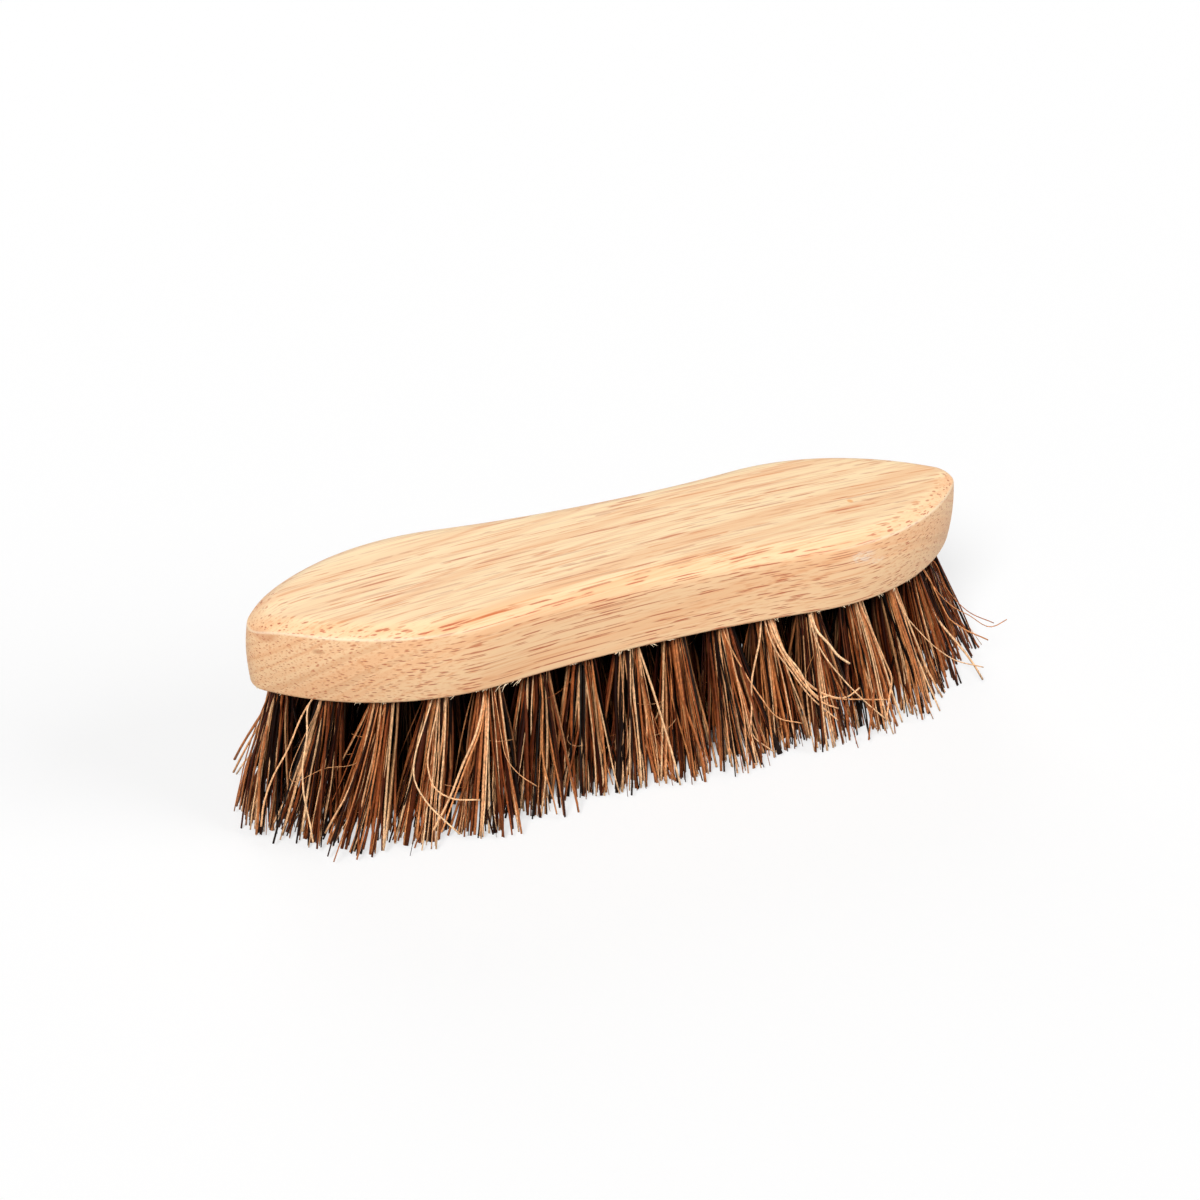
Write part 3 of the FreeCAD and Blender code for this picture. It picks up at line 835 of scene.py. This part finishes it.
def add_floor(settings):
    """A sweep of matt white paper, which shows no edge and throws a soft light back up."""
    mesh = bpy.data.meshes.new("floor")
    reach = 6.0
    corners = [(-reach, -reach, 0), (reach, -reach, 0), (reach, reach, 0), (-reach, reach, 0)]
    mesh.from_pydata(corners, [], [(0, 1, 2, 3)])
    material, tree, shader = new_material("white_paper_sweep")
    seen = seen_ray(tree)
    whites = {0: seen, 6: (*settings.floor_bounce, 1.0), 7: (*settings.floor, 1.0)}
    paper = node(tree, "Mix", whites, data_type="RGBA")
    fill(tree, shader, {"Base Color": paper, "Roughness": 0.9})
    # The sweep is lit from behind, for the eye alone, so the shadow that falls on it stays faint.
    glow = node(tree, "Emission", {"Color": (*settings.floor, 1.0)})
    # Right under the brush it stays in the brush's shade.
    footprint = (BLOCK_HIGH.x / MM, BLOCK_HIGH.y / MM, 1.0)
    shares = node(tree, "VectorMath", {0: millimetres(tree), 1: footprint}, operation="DIVIDE")
    apart = node(tree, "VectorMath", {0: shares}, operation="LENGTH")
    clear = {"Value": apart, "From Min": 0.7, "From Max": 1.0, "To Max": settings.floor_glow}
    lit = node(tree, "MapRange", clear)
    lit = node(tree, "Math", {0: seen, 1: lit}, operation="MULTIPLY")
    sweep = node(tree, "MixShader", {0: lit, 1: shader, 2: glow})
    fill(tree, tree.nodes["Material Output"], {"Surface": sweep})
    mesh.materials.append(material)
    floor = bpy.data.objects.new("floor", mesh)
    bpy.context.scene.collection.objects.link(floor)


def add_light(scene, settings):
    """A room of pale screens and three soft lamps."""
    world = bpy.data.worlds.new("even_white_room")
    world.use_nodes = True
    tree = world.node_tree
    height = node(tree, "SeparateXYZ", {"Vector": node(tree, "TexCoord").outputs["Generated"]}).outputs["Z"]
    screens = node(
        tree, "MapRange", {
            "Value": height, "From Min": 0.3, "From Max": 0.7,
            "To Min": settings.horizon, "To Max": settings.zenith,
        },
        interpolation_type="SMOOTHSTEP",
    )
    level = node(tree, "Mix", {0: seen_ray(tree), 2: screens, 3: 1.0})
    fill(tree, tree.nodes["Background"], {"Color": (1.0, 1.0, 1.0, 1.0), "Strength": level})
    scene.world = world
    for name, energy, softness, toward in (
        ("key_lamp", settings.key_strength, settings.key_softness, (-0.54, -0.56, 0.63)),
        ("fill_lamp", settings.fill_strength, settings.fill_softness, (0.72, -0.52, 0.46)),
        ("back_lamp", settings.back_strength, settings.fill_softness, (0.1, 0.85, 0.5)),
    ):
        light = bpy.data.lights.new(name, "SUN")
        light.energy = energy
        light.angle = softness
        lamp = bpy.data.objects.new(name, light)
        lamp.rotation_euler = Vector(toward).to_track_quat("Z", "Y").to_euler()
        scene.collection.objects.link(lamp)


def add_camera(scene, settings):
    """The camera, by its direction from the brush and where the brush lies in the view."""
    azimuth, elevation = settings.azimuth, settings.elevation
    ground = math.cos(elevation)
    back = Vector((math.sin(azimuth) * ground, -math.cos(azimuth) * ground, math.sin(elevation)))
    level = Vector((math.cos(azimuth), math.sin(azimuth), 0.0))
    upright = back.cross(level)
    right = level * math.cos(settings.roll) + upright * math.sin(settings.roll)
    up = upright * math.cos(settings.roll) - level * math.sin(settings.roll)
    place = Vector((0.0, 0.0, BLOCK_HIGH.z)) + back * settings.distance
    place = place - right * settings.aside - up * settings.above
    lens = bpy.data.cameras.new("camera")
    lens.lens = settings.lens
    lens.sensor_width = 36.0
    camera = bpy.data.objects.new("camera", lens)
    axes = Matrix((right, up, back)).transposed().to_4x4()
    camera.matrix_world = Matrix.Translation(place) @ axes
    scene.collection.objects.link(camera)
    scene.camera = camera


# Operators

class BRUSH_OT_wooden_block(bpy.types.Operator):
    """Makes the waisted wooden block with its soft edges, its holes and its grain"""

    bl_idname = "scrub_brush.wooden_block"
    bl_label = "Wooden Block"

    def execute(self, context):
        settings = context.scene.brush_block
        mesh, material = block_mesh(settings), rubberwood_material(settings)
        add_piece("wooden_block", mesh, material, "rubberwood", "brush_block")
        return {"FINISHED"}


class BRUSH_OT_fibre_tufts(bpy.types.Operator):
    """Fills every hole with its own bundle of separate fibres"""

    bl_idname = "scrub_brush.fibre_tufts"
    bl_label = "Fibre Tufts"

    def execute(self, context):
        settings = context.scene.brush_fibre
        material = bassine_material(settings)
        for seed, name in enumerate(TUFT_NODES, 500):
            draw = np.random.default_rng(seed)
            mesh = tuft_mesh(name, settings, context.scene.brush_block.hole_radius, draw)
            add_piece(name + "_fibres", mesh, material, "bassine_fibre", name)
        return {"FINISHED"}


class BRUSH_OT_loose_fibre(bpy.types.Operator):
    """Adds the fibres that have sprung out of their tufts and the hair-fine shreds"""

    bl_idname = "scrub_brush.loose_fibre"
    bl_label = "Loose Fibre"

    def execute(self, context):
        settings, hole_radius = context.scene.brush_fibre, context.scene.brush_block.hole_radius
        material = bpy.data.materials["bassine_fibre_dry"]
        add_piece("sprung_fibres", sprung_mesh(settings, hole_radius), material, "bassine_fibre")
        add_piece("fine_hairs", hair_mesh(settings, hole_radius), material, "bassine_fibre")
        return {"FINISHED"}


class BRUSH_OT_torn_arris(bpy.types.Operator):
    """Hangs torn chips of pale wood from the lower arris of the block"""

    bl_idname = "scrub_brush.torn_arris"
    bl_label = "Torn Arris"

    def execute(self, context):
        settings = context.scene.brush_block
        add_piece("torn_arris", torn_mesh(settings), torn_material(settings), "rubberwood")
        return {"FINISHED"}


class BRUSH_OT_staple_finish(bpy.types.Operator):
    """Gives the staples in the holes their drawn-wire finish"""

    bl_idname = "scrub_brush.staple_finish"
    bl_label = "Staple Finish"

    def execute(self, context):
        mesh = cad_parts["tuft_staples"].data
        mesh.materials.clear()
        mesh.materials.append(staple_material())
        return {"FINISHED"}


class BRUSH_OT_stage(bpy.types.Operator):
    """Sets the white floor, the soft lamps and the camera"""

    bl_idname = "scrub_brush.stage"
    bl_label = "Stage"

    def execute(self, context):
        settings = context.scene.brush_stage
        add_floor(settings)
        add_light(context.scene, settings)
        add_camera(context.scene, settings)
        context.scene.view_settings.view_transform = "Standard"
        return {"FINISHED"}


# Panel and registration

class BRUSH_PT_pieces(bpy.types.Panel):
    """Lists the brush's pieces and their settings"""

    bl_idname = "BRUSH_PT_pieces"
    bl_label = "Scrub Brush"
    bl_space_type = "VIEW_3D"
    bl_region_type = "UI"
    bl_category = "Scrub Brush"

    def draw(self, context):
        scene = context.scene
        for operator in OPERATORS:
            self.layout.operator(operator.bl_idname)
        for group in (scene.brush_block, scene.brush_fibre, scene.brush_stage):
            box = self.layout.box()
            for name in group.__annotations__:
                box.prop(group, name)


SETTINGS = {
    "brush_block": BrushBlockSettings,
    "brush_fibre": BrushFibreSettings,
    "brush_stage": BrushStageSettings,
}
OPERATORS = [
    BRUSH_OT_wooden_block, BRUSH_OT_torn_arris, BRUSH_OT_fibre_tufts, BRUSH_OT_loose_fibre,
    BRUSH_OT_staple_finish, BRUSH_OT_stage,
]


def register():
    """Makes the settings, the operators and the panel known to Blender."""
    for cls in [*SETTINGS.values(), *OPERATORS, BRUSH_PT_pieces]:
        bpy.utils.register_class(cls)
    for name, cls in SETTINGS.items():
        setattr(bpy.types.Scene, name, PointerProperty(type=cls))


def unregister():
    """Takes them out again."""
    for name in SETTINGS:
        delattr(bpy.types.Scene, name)
    for cls in reversed([*SETTINGS.values(), *OPERATORS, BRUSH_PT_pieces]):
        bpy.utils.unregister_class(cls)


def main():
    """Dresses the brush piece by piece."""
    register()
    bpy.ops.scrub_brush.wooden_block()
    bpy.ops.scrub_brush.torn_arris()
    bpy.ops.scrub_brush.fibre_tufts()
    bpy.ops.scrub_brush.loose_fibre()
    bpy.ops.scrub_brush.staple_finish()
    bpy.ops.scrub_brush.stage()


if __name__ == "__main__":
    main()
